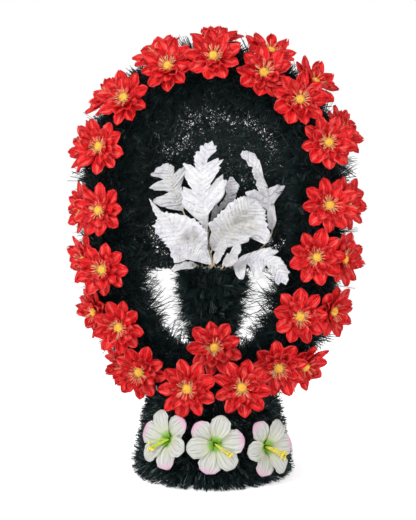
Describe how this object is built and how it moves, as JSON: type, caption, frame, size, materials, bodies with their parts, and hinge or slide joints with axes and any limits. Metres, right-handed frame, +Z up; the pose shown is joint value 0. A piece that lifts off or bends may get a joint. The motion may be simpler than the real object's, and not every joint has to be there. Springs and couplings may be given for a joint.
{
  "type": "standing funeral wreath",
  "caption": "Tall oval fir ring on a round fir foot, with fabric dahlias round it, lilies on the foot and a spray of white lobed leaves on a tapered fir post inside.",
  "frame": {"origin": "centre of the foot's flat underside", "axes": "+Z up, along the wreath's height; the flowered front faces -Y; +X is to the viewer's right"},
  "size_m": [0.6823, 0.3747, 1.0016],
  "materials": {
    "fir": "fine cut plastic needles, dark green",
    "dahlia": "glazed red fabric, creased along the petals",
    "lily": "glazed white fabric with pale pink petal tips",
    "leaf": "matt flocked white fabric"
  },
  "bodies": {
    "root": {"fir_foot": "fir", "fir_ring": "fir", "fir_post": "fir", "fir_net": "fir", "dahlia_front_01": "dahlia", "dahlia_front_02": "dahlia", "dahlia_front_03": "dahlia", "dahlia_front_04": "dahlia", "dahlia_front_05": "dahlia", "dahlia_front_06": "dahlia", "dahlia_front_07": "dahlia", "dahlia_front_08": "dahlia", "dahlia_front_09": "dahlia", "dahlia_front_10": "dahlia", "dahlia_front_11": "dahlia", "dahlia_front_12": "dahlia", "dahlia_front_13": "dahlia", "dahlia_front_14": "dahlia", "dahlia_front_15": "dahlia", "dahlia_front_16": "dahlia", "dahlia_front_17": "dahlia", "dahlia_rim_01": "dahlia", "dahlia_rim_02": "dahlia", "dahlia_rim_03": "dahlia", "dahlia_rim_04": "dahlia", "dahlia_rim_05": "dahlia", "dahlia_rim_06": "dahlia", "dahlia_rim_07": "dahlia", "dahlia_rim_08": "dahlia", "dahlia_rim_09": "dahlia", "dahlia_rim_10": "dahlia", "dahlia_rim_11": "dahlia", "dahlia_rim_12": "dahlia", "dahlia_rim_13": "dahlia", "dahlia_rim_14": "dahlia", "dahlia_rim_15": "dahlia", "dahlia_post": "dahlia", "lily_left": "lily", "lily_centre": "lily", "lily_right": "lily", "leaf_tall": "leaf", "leaf_left": "leaf", "leaf_left_low": "leaf", "leaf_left_rim": "leaf", "leaf_left_front": "leaf", "leaf_right": "leaf", "leaf_back": "leaf", "leaf_right_tall": "leaf", "leaf_small": "leaf", "leaf_small_right": "leaf", "leaf_right_rim": "leaf"}
  },
  "joints": []
}
